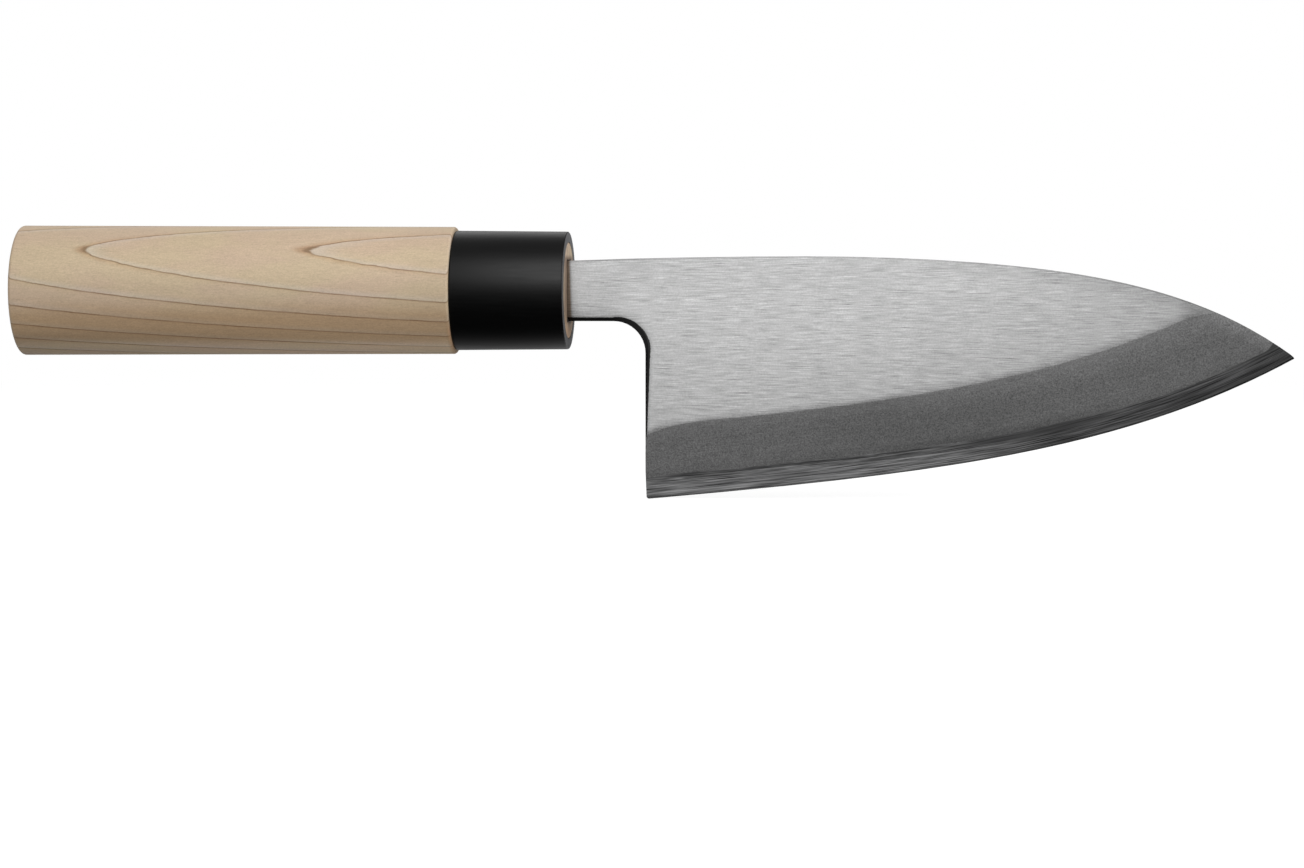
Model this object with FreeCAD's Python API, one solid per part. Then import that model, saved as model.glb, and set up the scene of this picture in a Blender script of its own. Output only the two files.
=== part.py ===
import FreeCAD, Part
import math
import os

# A single-bevel deba knife, in millimetres.
# The handle's axis is X, with the butt at x = 0.
# The tip points to +X, the spine to +Z and the bevelled side to -Y.

vec = FreeCAD.Vector

# Wooden handle, an oval that narrows towards the ferrule.
grip_length = 105.6
butt_height = 31.0
butt_width = 25.4
shoulder_height = 30.0
shoulder_width = 24.6
butt_round = 0.9
shoulder_round = 0.6

# Ferrule on the handle's tenon.
ferrule_length = 26.8
ferrule_rear_height = 28.2
ferrule_rear_width = 23.3
ferrule_front_height = 27.7
ferrule_front_width = 22.9
ferrule_wall = 2.5
ferrule_round = 0.35
tenon_gap = 0.05

# Neck and tang. Heights are measured from the handle's axis.
neck_length = 18.1
neck_top = 7.0
neck_bottom = 7.2
neck_thickness = 5.6
tang_length = 92.0
tang_end_height = 7.0
tang_end_thickness = 3.2
tang_end_round = 2.4
socket_gap = 0.1
socket_end_room = 2.0

# Blade outline, seen from the side.
blade_length = 150.6
crown_distance = 55.0
crown_rise = 1.0
tip_drop = 15.5
heel_depth = 49.2
choil_radius = 7.5
heel_round = 0.7
spine_bow_share = 0.47
edge_straight_share = 0.42
edge_belly_share = 0.12

# Blade section. The thickness is that of the flat upper face at the tip's station,
# before the face bends inwards over the last stretch.
tip_thickness = 2.25
tip_bend_distance = 24.0
tip_bend_inset = 0.85
spine_chamfer = 0.4
bevel_height = 17.4
bevel_growth = 5.6
heel_dip = 1.9
heel_dip_length = 4.0
edge_land = 0.08
edge_bevel_height = 0.45
edge_bevel_thickness = 0.3

# Unpolished chamfer under the neck and down the heel, on the bevelled side.
# It is wider by the bulge in the middle of the choil's curve.
choil_chamfer_width = 1.1
choil_chamfer_depth = 3.2
choil_chamfer_bulge = 0.6

# Hard steel layer on the back, and its hollow.
steel_at_heel = 1.77
steel_at_tip = 0.64
steel_start = 7.0
steel_scarf = 4.0
hollow_depth = 0.42
hollow_end_depth = 0.06
hollow_heel_rim = 5.0
hollow_tip_rim = 16.0
hollow_spine_rim = 4.5
hollow_edge_rim = 2.6

# Number of points and sections that the formula curves are drawn through.
curve_point_count = 15
hollow_section_count = 7

# How far cutters run past the steel, and how close counts as touching.
past = 8.0
touch = 0.0001

mouth_x = grip_length + ferrule_length
heel_x = mouth_x + neck_length
tip_x = heel_x + blade_length
crown_x = mouth_x + crown_distance
crown_z = neck_top + crown_rise
back_y = neck_thickness / 2

# A quarter circle's middle lies this share of its radius in from the corner's two sides.
corner_share = 1 - math.sqrt(0.5)


def oval(x, height, width):
    centre = vec(x, 0, 0)
    ellipse = Part.Ellipse(centre + vec(0, 0, height / 2), centre + vec(0, width / 2, 0), centre)
    return Part.Wire(ellipse.toShape())


def oval_bar(x0, height0, width0, x1, height1, width1):
    return Part.makeLoft([oval(x0, height0, width0), oval(x1, height1, width1)], True, True)


def rounded_end(shape, x, radius):
    rim = [e for e in shape.Edges if abs(e.BoundBox.XMin - x) < touch and abs(e.BoundBox.XMax - x) < touch]
    return shape.makeFillet(radius, rim)


def ferrule_bore(gap):
    inset = 2 * (ferrule_wall + gap)
    return oval_bar(
        grip_length, ferrule_rear_height - inset, ferrule_rear_width - inset,
        mouth_x, ferrule_front_height - inset, ferrule_front_width - inset)


def make_ferrule():
    body = oval_bar(
        grip_length, ferrule_rear_height, ferrule_rear_width,
        mouth_x, ferrule_front_height, ferrule_front_width)
    body = rounded_end(body, mouth_x, ferrule_round)
    body = rounded_end(body, grip_length, ferrule_round)
    return body.cut(ferrule_bore(0))


def tang_section(x, gap):
    share = (mouth_x - x) / tang_length
    top = neck_top + (tang_end_height / 2 - neck_top) * share + gap
    bottom = -neck_bottom + (neck_bottom - tang_end_height / 2) * share - gap
    side = (neck_thickness + (tang_end_thickness - neck_thickness) * share) / 2 + gap
    corners = [vec(x, -side, bottom), vec(x, side, bottom), vec(x, side, top), vec(x, -side, top)]
    return Part.makePolygon(corners + corners[:1])


def tang_wedge(x_end, gap):
    return Part.makeLoft([tang_section(x_end, gap), tang_section(mouth_x, gap)], True, True)


def make_grip():
    body = oval_bar(0, butt_height, butt_width, grip_length, shoulder_height, shoulder_width)
    body = rounded_end(body, 0, butt_round)
    body = rounded_end(body, grip_length, shoulder_round)
    body = body.fuse(ferrule_bore(tenon_gap))
    socket = tang_wedge(mouth_x - tang_length - socket_end_room, socket_gap)
    return body.cut(socket).removeSplitter()


def spine_z(x):
    if x < crown_x:
        return crown_z - crown_rise * ((crown_x - x) / crown_distance) ** 2
    u = (x - crown_x) / (tip_x - crown_x)
    return crown_z - (crown_z + tip_drop) * (spine_bow_share * u**2 + (1 - spine_bow_share) * u**5)


def edge_z(x):
    s = (x - heel_x) / blade_length
    edge_sweep_share = 1 - edge_straight_share - edge_belly_share
    rise = edge_straight_share * s + edge_belly_share * s**2 + edge_sweep_share * s**4
    return (heel_depth - tip_drop) * rise - heel_depth


def ridge_z(x):
    s = (x - heel_x) / blade_length
    dip = heel_dip * math.exp((heel_x - x) / heel_dip_length)
    return edge_z(x) + bevel_height + bevel_growth * s**3 - dip


def flat_y(x):
    share = (x - mouth_x) / (tip_x - mouth_x)
    return back_y - neck_thickness - (tip_thickness - neck_thickness) * share


def steps(x0, x1, count):
    return [x0 + (x1 - x0) * i / (count - 1) for i in range(count)]


def smooth(points):
    curve = Part.BSplineCurve()
    curve.interpolate(Points=points, Parameters=[float(i) for i in range(len(points))])
    return curve.toShape()


def sloped_cutter(x0, x1, low, high, side):
    """Solid on one side of the strip between two lines, each a function of x that gives (y, z)."""
    below, above = [], []
    for x in steps(x0, x1, curve_point_count):
        low_y, low_z = low(x)
        high_y, high_z = high(x)
        run = vec(0, high_y - low_y, high_z - low_z)
        reach = run * (past / 2 / run.Length)
        below.append(vec(x, low_y, low_z) - reach)
        above.append(vec(x, high_y, high_z) + reach)
    strip = Part.makeRuledSurface(smooth(below), smooth(above))
    return strip.extrude(vec(0, side * (neck_thickness + 2 * past), 0))


def upright_prism(plan):
    """Prism over the blade's whole height, on a plan outline of (x, y) corners."""
    corners = [vec(x, y, -heel_depth - past) for x, y in plan]
    floor = Part.Face(Part.makePolygon(corners + corners[:1]))
    return floor.extrude(vec(0, 0, heel_depth + crown_z + 2 * past))


def blade_outline():
    top = [vec(x, back_y, spine_z(x)) for x in steps(mouth_x, tip_x, curve_point_count)]
    bottom = [vec(x, back_y, edge_z(x)) for x in steps(heel_x + heel_round, tip_x, curve_point_count)]
    heel_low = vec(heel_x, back_y, edge_z(heel_x) + heel_round)
    heel_inset = corner_share * heel_round
    heel_mid = vec(heel_x + heel_inset, back_y, edge_z(heel_x) + heel_inset)
    heel_high = vec(heel_x, back_y, -neck_bottom - choil_radius)
    choil_end = vec(heel_x - choil_radius, back_y, -neck_bottom)
    choil_inset = corner_share * choil_radius
    choil_mid = vec(heel_x - choil_inset, back_y, -neck_bottom - choil_inset)
    edges = [
        smooth(top), smooth(bottom),
        Part.Arc(bottom[0], heel_mid, heel_low).toShape(),
        Part.makeLine(heel_low, heel_high),
        Part.Arc(heel_high, choil_mid, choil_end).toShape(),
        Part.makeLine(choil_end, vec(mouth_x, back_y, -neck_bottom)),
        Part.makeLine(vec(mouth_x, back_y, -neck_bottom), top[0])]
    return Part.Wire(Part.__sortEdges__(edges))


def choil_wire(y, inset):
    """Ring below the neck and behind the heel, with its steel side moved in by inset."""
    corner_x = heel_x - choil_radius
    corner_z = -neck_bottom - choil_radius
    bulge = choil_chamfer_bulge * inset / choil_chamfer_width
    diagonal = (choil_radius + inset + bulge) * (1 - corner_share)
    neck_z = -neck_bottom + inset
    start = vec(mouth_x, y, neck_z)
    arc_start = vec(corner_x, y, neck_z)
    arc_mid = vec(corner_x + diagonal, y, corner_z + diagonal)
    arc_end = vec(heel_x + inset, y, corner_z)
    foot = vec(heel_x, y, edge_z(heel_x))
    out_low = vec(heel_x - past, y, edge_z(heel_x))
    out_high = vec(mouth_x, y, -neck_bottom - past)
    edges = [
        Part.makeLine(start, arc_start),
        Part.Arc(arc_start, arc_mid, arc_end).toShape(),
        Part.makeLine(arc_end, foot),
        Part.makeLine(foot, out_low),
        Part.makeLine(out_low, out_high),
        Part.makeLine(out_high, start)]
    return Part.Wire(edges)


def choil_cutter():
    face_y = flat_y(mouth_x)
    over = 1 + past / choil_chamfer_depth
    outer = choil_wire(face_y - past, choil_chamfer_width * over)
    inner = choil_wire(face_y + choil_chamfer_depth, 0)
    return Part.makeLoft([outer, inner], True, True)


def make_blade():
    plate = Part.Face(blade_outline()).extrude(vec(0, -neck_thickness - past, 0))
    before_mouth = mouth_x - past
    before_heel = heel_x - heel_dip_length / 2
    bend_x = tip_x - tip_bend_distance
    beyond_tip = tip_x + past
    outside_y = -back_y - 2 * past
    flat_side = upright_prism([
        (before_mouth, flat_y(before_mouth)),
        (bend_x, flat_y(bend_x)),
        (tip_x, flat_y(tip_x) + tip_bend_inset),
        (beyond_tip, flat_y(beyond_tip) + tip_bend_inset),
        (beyond_tip, outside_y),
        (before_mouth, outside_y)])
    main_bevel = sloped_cutter(
        before_heel, beyond_tip,
        lambda x: (back_y - edge_bevel_thickness, edge_z(x) + edge_bevel_height),
        lambda x: (flat_y(x), ridge_z(x)), -1)
    edge_bevel = sloped_cutter(
        before_heel, beyond_tip,
        lambda x: (back_y - edge_land, edge_z(x)),
        lambda x: (back_y - edge_bevel_thickness, edge_z(x) + edge_bevel_height), -1)
    front_ease = sloped_cutter(
        before_mouth, beyond_tip,
        lambda x: (flat_y(x), spine_z(x) - spine_chamfer),
        lambda x: (flat_y(x) + spine_chamfer, spine_z(x)), -1)
    back_ease = sloped_cutter(
        before_mouth, beyond_tip,
        lambda x: (back_y, spine_z(x) - spine_chamfer),
        lambda x: (back_y - spine_chamfer, spine_z(x)), 1)
    for cutter in (flat_side, main_bevel, edge_bevel, front_ease, back_ease, choil_cutter()):
        plate = plate.cut(cutter)
    return plate


def steel_zone():
    start_x = mouth_x + steel_start
    return upright_prism([
        (start_x, back_y + past),
        (start_x, back_y),
        (start_x + steel_scarf, back_y - steel_at_heel),
        (heel_x, back_y - steel_at_heel),
        (tip_x, back_y - steel_at_tip),
        (tip_x + past, back_y - steel_at_tip),
        (tip_x + past, back_y + past)])


def hollow_section(x, depth):
    low = edge_z(x) + hollow_edge_rim
    high = spine_z(x) - hollow_spine_rim
    foot = vec(x, back_y, low)
    head = vec(x, back_y, high)
    arc = Part.Arc(foot, vec(x, back_y - depth, (low + high) / 2), head).toShape()
    head_out = vec(x, back_y + past, high)
    foot_out = vec(x, back_y + past, low)
    return Part.Wire([
        arc, Part.makeLine(head, head_out), Part.makeLine(head_out, foot_out), Part.makeLine(foot_out, foot)])


def back_hollow():
    start = heel_x + hollow_heel_rim
    end = tip_x - hollow_tip_rim
    sections = []
    for x in steps(start, end, hollow_section_count):
        off_middle = (2 * x - start - end) / (end - start)
        depth = hollow_end_depth + (hollow_depth - hollow_end_depth) * (1 - off_middle**2)
        sections.append(hollow_section(x, depth))
    return Part.makeLoft(sections, True, False)


def make_tang():
    end_x = mouth_x - tang_length
    tang = tang_wedge(end_x, 0)
    corners = [e for e in tang.Edges if e.BoundBox.XMax - end_x < touch and e.BoundBox.ZLength < touch]
    return tang.makeFillet(tang_end_round, corners)


def write(shape, node):
    shape.exportStep("parts/" + node + ".step")
    print(node, shape.isValid(), len(shape.Solids), "solid", round(shape.Volume), "mm3")


os.makedirs("parts", exist_ok=True)
blade = make_blade()
zone = steel_zone()
write(make_grip(), "grip_wood")
write(make_ferrule(), "ferrule")
write(blade.cut(zone).fuse(make_tang()).removeSplitter(), "blade_iron")
write(blade.common(zone).cut(back_hollow()), "edge_steel")
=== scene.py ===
import math

import bmesh
import bpy
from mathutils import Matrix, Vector


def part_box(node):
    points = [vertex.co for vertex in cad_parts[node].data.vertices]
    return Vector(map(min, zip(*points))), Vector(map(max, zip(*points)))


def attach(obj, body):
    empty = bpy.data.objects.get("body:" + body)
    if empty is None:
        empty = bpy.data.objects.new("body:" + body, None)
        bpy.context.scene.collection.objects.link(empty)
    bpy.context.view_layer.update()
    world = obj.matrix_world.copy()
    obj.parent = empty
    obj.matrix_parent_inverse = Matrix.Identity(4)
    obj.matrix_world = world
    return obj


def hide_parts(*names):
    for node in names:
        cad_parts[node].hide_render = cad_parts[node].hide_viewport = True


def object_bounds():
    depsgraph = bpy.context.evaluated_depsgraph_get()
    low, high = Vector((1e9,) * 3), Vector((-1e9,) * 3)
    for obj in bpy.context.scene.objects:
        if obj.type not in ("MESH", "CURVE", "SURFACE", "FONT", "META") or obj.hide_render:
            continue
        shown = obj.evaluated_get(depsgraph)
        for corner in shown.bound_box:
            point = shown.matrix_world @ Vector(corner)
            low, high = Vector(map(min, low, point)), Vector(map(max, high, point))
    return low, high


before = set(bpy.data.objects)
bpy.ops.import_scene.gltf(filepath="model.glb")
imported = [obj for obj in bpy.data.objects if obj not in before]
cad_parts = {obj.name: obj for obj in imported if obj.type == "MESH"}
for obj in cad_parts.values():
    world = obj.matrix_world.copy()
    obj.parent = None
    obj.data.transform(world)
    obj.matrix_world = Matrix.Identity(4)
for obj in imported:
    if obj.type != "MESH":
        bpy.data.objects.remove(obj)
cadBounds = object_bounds()
mm = 0.001

scene = bpy.context.scene
scene.view_settings.view_transform = "Standard"

# places shared by all pieces, in millimetres along the knife, read from the solids
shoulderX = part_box("ferrule")[0][0] / mm
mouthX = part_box("ferrule")[1][0] / mm
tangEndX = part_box("blade_iron")[0][0] / mm
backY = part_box("edge_steel")[1][1] / mm
floorZ = cadBounds[0][2]
print("frame loaded: shoulder", round(shoulderX, 2), "mouth", round(mouthX, 2), "back", round(backY, 2))


# node helpers

def feed(tree, socket, value):
    if isinstance(value, Term):
        value = value.socket
    if isinstance(value, bpy.types.NodeSocket):
        tree.links.new(value, socket)
    else:
        socket.default_value = value


def addNode(tree, kind, inputs=None, **settings):
    node = tree.nodes.new(kind)
    for name, value in settings.items():
        setattr(node, name, value)
    for name, value in (inputs or {}).items():
        feed(tree, node.inputs[name], value)
    return node


class Term:  # a number in a node tree that can be reckoned with
    def __init__(self, tree, socket):
        self.tree = tree
        self.socket = socket

    def op(self, operation, *others):
        node = addNode(self.tree, "ShaderNodeMath", {0: self}, operation=operation)
        for i, other in enumerate(others):
            feed(self.tree, node.inputs[i + 1], other)
        return Term(self.tree, node.outputs[0])

    def __add__(self, other):
        return self.op("ADD", other)

    def __sub__(self, other):
        return self.op("SUBTRACT", other)

    def __mul__(self, other):
        return self.op("MULTIPLY", other)

    def __truediv__(self, other):
        return self.op("DIVIDE", other)

    def __pow__(self, other):
        return self.op("POWER", other)

    def step(self, start, end):  # soft step from 0 at start to 1 at end, whichever of them is higher
        node = addNode(
            self.tree, "ShaderNodeMapRange", {"Value": self, "From Min": start, "From Max": end},
            interpolation_type="SMOOTHSTEP")
        return Term(self.tree, node.outputs[0])

    def flipped(self):  # 1 where it is 0, and 0 where it is 1
        return self * -1 + 1

    def ramp(self, first, last):  # first where it is 0, last where it is 1
        return self * (last - first) + first

    def towards(self, other, mask):  # the other where the mask is 1
        return self + (other - self) * mask

    def swing(self, amount):  # a noise of about 0.5 turned into a shift about 0
        return (self - 0.5) * amount

    def spread(self, amount):  # the same as a factor about 1
        return self.swing(amount) + 1


def newGroup(name, kind, inputs, outputs):
    tree = bpy.data.node_groups.new(name, kind)
    for label, socketType in inputs:
        tree.interface.new_socket(label, in_out="INPUT", socket_type=socketType)
    for label, socketType in outputs:
        tree.interface.new_socket(label, in_out="OUTPUT", socket_type=socketType)
    return tree, tree.nodes.new("NodeGroupInput"), tree.nodes.new("NodeGroupOutput")


def place(tree, group, inputs):  # puts a shared effect into a material and hands out what it gives
    node = tree.nodes.new("ShaderNodeGroup")
    node.node_tree = group
    for name, value in inputs.items():
        feed(tree, node.inputs[name], value)
    return {output.name: Term(tree, output) for output in node.outputs}


def split(tree, vector):
    node = addNode(tree, "ShaderNodeSeparateXYZ", {0: vector})
    return [Term(tree, node.outputs[i]) for i in range(3)]


def join(tree, x, y, z):
    return addNode(tree, "ShaderNodeCombineXYZ", {0: x, 1: y, 2: z}).outputs[0]


def distance(first, second):
    return (first**2.0 + second**2.0).op("SQRT")


def noise(tree, vector, scale=1.0, detail=2.0, roughness=0.5):
    node = addNode(
        tree, "ShaderNodeTexNoise",
        {"Vector": vector, "Scale": scale, "Detail": detail, "Roughness": roughness})
    return Term(tree, node.outputs[0])


def mix(tree, factor, first, second):
    node = addNode(tree, "ShaderNodeMix", {0: factor, 6: first, 7: second}, data_type="RGBA")
    return node.outputs[2]


def grey(value):
    return (value, value, value, 1.0)


def coolGrey(tree, tone, blue):
    return join(tree, tone, tone, tone * blue)


def scaled(tree, vector, factor):  # a colour or place times a factor
    node = addNode(tree, "ShaderNodeVectorMath", {0: vector}, operation="SCALE")
    feed(tree, node.inputs["Scale"], factor)
    return node.outputs[0]


def stepped(measures, steps):  # 1 where all soft steps are done, each a measure with its start and end
    masks = [measures[label].step(start, end) for label, start, end in steps]
    return math.prod(masks[1:], start=masks[0])


def shaded(tone, measures, shades):  # each shade adds shares of the tone where their soft steps are done
    for shares in shades.values():
        changes = [stepped(measures, steps) * share for share, *steps in shares]
        tone = tone * (sum(changes[1:], changes[0]) + 1)
    return tone


def newMaterial(name, **fixed):
    material = bpy.data.materials.new(name)
    material.use_nodes = True
    tree = material.node_tree
    shader = tree.nodes["Principled BSDF"]
    for label, value in fixed.items():
        shader.inputs[label.replace("_", " ")].default_value = value
    return material, tree, shader


def millimetres(tree):  # object coordinates in millimetres
    return scaled(tree, tree.nodes.new("ShaderNodeTexCoord").outputs["Object"], 1 / mm)


def bump(tree, shader, height, look):
    node = addNode(tree, "ShaderNodeBump", {
        "Strength": look["bumpStrength"], "Distance": look["bumpDepth"] * mm, "Height": height})
    tree.links.new(node.outputs[0], shader.inputs["Normal"])


def brushTangent(tree, shader):  # the gloss is stretched across the brush lines
    tangent = addNode(tree, "ShaderNodeTangent", direction_type="UV_MAP", uv_map="brush")
    tree.links.new(tangent.outputs[0], shader.inputs["Tangent"])


# shared effects: lengthwise brush lines, and soft clouds with grit

brushSizes = {"broadAlong": 0.3, "broadAcross": 0.17}
cloudSizes = {"gritScale": 14.0}


def brushLinesGroup(sizes):
    tree, source, sink = newGroup(
        "brushLines", "ShaderNodeTree",
        [("Flow", "NodeSocketVector"), ("Line Length", "NodeSocketFloat"), ("Line Width", "NodeSocketFloat")],
        [("Fine", "NodeSocketFloat"), ("Broad", "NodeSocketFloat")])
    along, across, depth = split(tree, source.outputs["Flow"])
    length, width = source.outputs["Line Length"], source.outputs["Line Width"]
    along, across, depth = along / length, across / width, depth / width
    fine = noise(tree, join(tree, along, across, depth), detail=1.5, roughness=0.6)
    broadAcross = sizes["broadAcross"]
    broad = noise(tree, join(tree, along * sizes["broadAlong"], across * broadAcross, depth * broadAcross))
    feed(tree, sink.inputs["Fine"], fine)
    feed(tree, sink.inputs["Broad"], broad)
    return tree


def cloudsGroup(sizes):
    tree, source, sink = newGroup(
        "clouds", "ShaderNodeTree",
        [("Flow", "NodeSocketVector"), ("Size", "NodeSocketFloat")],
        [("Cloud", "NodeSocketFloat"), ("Grit", "NodeSocketFloat")])
    along, across, depth = split(tree, source.outputs["Flow"])
    size = source.outputs["Size"]
    flow = join(tree, along / size, across / size, depth / size)
    feed(tree, sink.inputs["Cloud"], noise(tree, flow, detail=3.0, roughness=0.55))
    feed(tree, sink.inputs["Grit"], noise(tree, flow, sizes["gritScale"], roughness=0.7))
    return tree


brushLines = brushLinesGroup(brushSizes)
clouds = cloudsGroup(cloudSizes)


def brushed(tree, flow, look):
    lines = place(tree, brushLines, {
        "Flow": flow, "Line Length": look["lineLength"], "Line Width": look["lineWidth"]})
    return lines["Fine"], lines["Broad"]


def clouded(tree, flow, look):
    haze = place(tree, clouds, {"Flow": flow, "Size": look["cloudSize"]})
    return haze["Cloud"], haze["Grit"]


# blade rule: the same outline, ridge and lamination as the solids, in millimetres

bladeSizes = {
    "neckLength": 18.1, "neckBottom": -7.2, "neckThickness": 5.6, "choilRadius": 7.5,
    "bladeLength": 150.6, "heelDepth": 49.2, "tipDrop": 15.5, "tipThickness": 2.25,
    "edgeStraightShare": 0.42, "edgeBellyShare": 0.12,
    "crownDistance": 55.0, "crownZ": 8.0, "spineBowShare": 0.47,
    "bevelHeight": 17.4, "bevelGrowth": 5.6, "heelDip": 1.9, "heelDipLength": 4.0,
    "tipBendDistance": 24.0, "tipBendLowering": 0.31,
    "edgeBevelHeight": 0.45, "edgeBevelThickness": 0.3, "steelAtHeel": 1.77, "steelAtTip": 0.64,
    "tipLiftDistance": 24.0, "tipLift": 0.5, "tipHookDistance": 7.0, "tipHookHeight": 18.0,
    "waveHeight": 0.8, "wavePitch": 22.0, "rippleHeight": 0.9, "ripplePitch": 3.2, "rippleAcross": 0.8,
    "least": 0.001,  # keeps a division from zero
}


def bladeRuleGroup(sizes):
    labels = ("Above Edge", "Above Ridge", "Below Spine", "Into Steel", "Along", "Height", "From Wood",
              "From Choil", "Round Choil", "Down Heel")
    tree, source, sink = newGroup(
        "bladeRule", "ShaderNodeTree", [("Place", "NodeSocketVector")],
        [("Flow", "NodeSocketVector")] + [(label, "NodeSocketFloat") for label in labels])
    x, y, z = split(tree, source.outputs["Place"])
    heelX = mouthX + sizes["neckLength"]
    tipX = heelX + sizes["bladeLength"]
    along = (x - heelX) / sizes["bladeLength"]
    sweepShare = 1 - sizes["edgeStraightShare"] - sizes["edgeBellyShare"]
    rise = along * sizes["edgeStraightShare"] + along**2.0 * sizes["edgeBellyShare"] + along**4.0 * sweepShare
    aboveEdge = z - rise.ramp(-sizes["heelDepth"], -sizes["tipDrop"])
    dip = ((x - heelX) / -sizes["heelDipLength"]).op("EXPONENT") * sizes["heelDip"]
    ridge = along**3.0 * sizes["bevelGrowth"] + sizes["bevelHeight"] - dip
    lowered = (x - (tipX - sizes["tipBendDistance"])).op("MAXIMUM", 0.0) * sizes["tipBendLowering"]
    crownX = mouthX + sizes["crownDistance"]
    past = ((x - crownX) / (tipX - crownX)).op("MAXIMUM", 0.0)
    drop = past**2.0 * sizes["spineBowShare"] + past**5.0 * (1 - sizes["spineBowShare"])
    spine = drop.ramp(sizes["crownZ"], -sizes["tipDrop"])
    # the steel comes out of the bevel where the bevel is as thick as the steel
    layer = along.ramp(sizes["steelAtHeel"], sizes["steelAtTip"])
    thinning = (sizes["tipThickness"] - sizes["neckThickness"]) / (tipX - mouthX)
    thickness = (x - mouthX) * thinning + sizes["neckThickness"]
    share = (layer - sizes["edgeBevelThickness"]) / (thickness - sizes["edgeBevelThickness"])
    lamination = share * (ridge - sizes["edgeBevelHeight"]) + sizes["edgeBevelHeight"]
    lifted = x.step(tipX - sizes["tipLiftDistance"], tipX - sizes["tipLiftDistance"] / 2) * sizes["tipLift"]
    hook = (x - (tipX - sizes["tipHookDistance"])).op("MAXIMUM", 0.0) / sizes["tipHookDistance"]
    lamination = lamination + lifted + hook**2.0 * sizes["tipHookHeight"]
    wave = noise(tree, join(tree, x / sizes["wavePitch"], 0.0, 0.0), detail=1.0)
    rippleFlow = join(tree, x / sizes["ripplePitch"], aboveEdge * sizes["rippleAcross"], 0.0)
    ripple = noise(tree, rippleFlow, detail=3.0)
    wander = wave.swing(sizes["waveHeight"]) + ripple.swing(sizes["rippleHeight"])
    # the outline under the neck, round the choil and down the heel
    heelTop = sizes["neckBottom"] - sizes["choilRadius"]
    inX = (x - (heelX - sizes["choilRadius"])).op("MAXIMUM", 0.0)
    inZ = (z - heelTop).op("MAXIMUM", 0.0)
    results = {
        "Flow": join(tree, x, aboveEdge, y), "Above Edge": aboveEdge,
        "Above Ridge": aboveEdge - (ridge - lowered), "Below Spine": spine - z,
        "Into Steel": lamination + wander - aboveEdge,
        "Along": along, "Height": z, "From Wood": x - mouthX,
        "From Choil": distance(inX, inZ) - sizes["choilRadius"],
        "Round Choil": inX / (inX + inZ + sizes["least"]),
        "Down Heel": (z * -1 + heelTop) / (sizes["heelDepth"] + heelTop),
    }
    for label, value in results.items():
        feed(tree, sink.inputs[label], value)
    return tree


bladeRule = bladeRuleGroup(bladeSizes)


# bevel: matte iron above the lamination, dark ragged lines, then the lengthwise polished steel
# a pair gives the places where a soft step is 0 and 1, and a pair of shares gives what it runs between
# a shade lists shares of the tone, each with the soft steps (measure, start, end) that it needs
# "Along" runs from 0 at the heel to 1 at the tip, and the rule's other measures are in millimetres

farHalf = [("Along", 0.4, 0.55), ("Along", 0.78, 0.66)]
bevelFinish = {
    "lineLength": 11.0, "lineWidth": 0.2, "cloudSize": 5.0,
    "ironTone": 0.126, "ironCloud": 0.25, "ironGrit": 2.3, "ironBrush": 0.5, "ironRoughness": 0.5,
    "ironShades": {
        "seam": [(-0.14, ("Into Steel", -2.6, -0.2)), (-0.16, ("Into Steel", -2.6, -0.2), *farHalf)],
        "length": [(-0.13, ("Along", 0.2, 0.45), ("Along", 0.75, 0.5)), (0.16, ("Along", 0.4, 0.0))],
        "spine": [(0.4, ("Below Spine", 4.0, 0.5), ("Along", 0.82, 0.88))],
    },
    "steelTone": 0.40, "steelMidTone": 0.52, "steelFarTone": 0.215, "steelTipTone": 0.15,
    "steelMid": (0.1, 0.43), "steelFar": (0.45, 0.66), "steelTip": (0.7, 0.86),
    "steelBrush": 4.6, "steelLeast": 0.12, "steelStreak": 1.15, "steelBroad": 0.8, "steelRoughness": 0.4,
    "streakAlong": 6.0, "streakAcross": 2.3, "steelFrom": (-0.2, 0.25),
    "steelShades": {
        "ends": [(-0.33, ("Along", 0.91, 0.95)), (0.33, ("Along", 0.91, 0.95), ("Above Edge", 2.6, 0.8)),
                 (-0.35, ("Along", 0.82, 0.95), ("Above Edge", 2.6, 0.8)),
                 (-0.35, ("Along", 0.22, 0.0), ("Above Edge", 2.6, 0.8))],
    },
    "lineTone": 0.16, "lineBrush": 0.6, "lineFading": -0.6, "markAlong": 22.0, "markAcross": 0.6,
    "firstLine": [("Into Steel", -0.15, 0.15), ("Into Steel", 0.9, 0.3)],
    "firstMarks": (0.3, 0.6), "firstShares": (0.4, 0.9),
    "laterLine": [("Into Steel", 0.7, 1.1), ("Into Steel", 1.9, 1.2)],
    "laterMarks": (0.6, 0.35), "laterShare": 0.6,
    "wideLine": [("Into Steel", -0.1, 0.3), ("Into Steel", 2.6, 1.0), *farHalf], "wideShare": 0.75,
}


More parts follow.
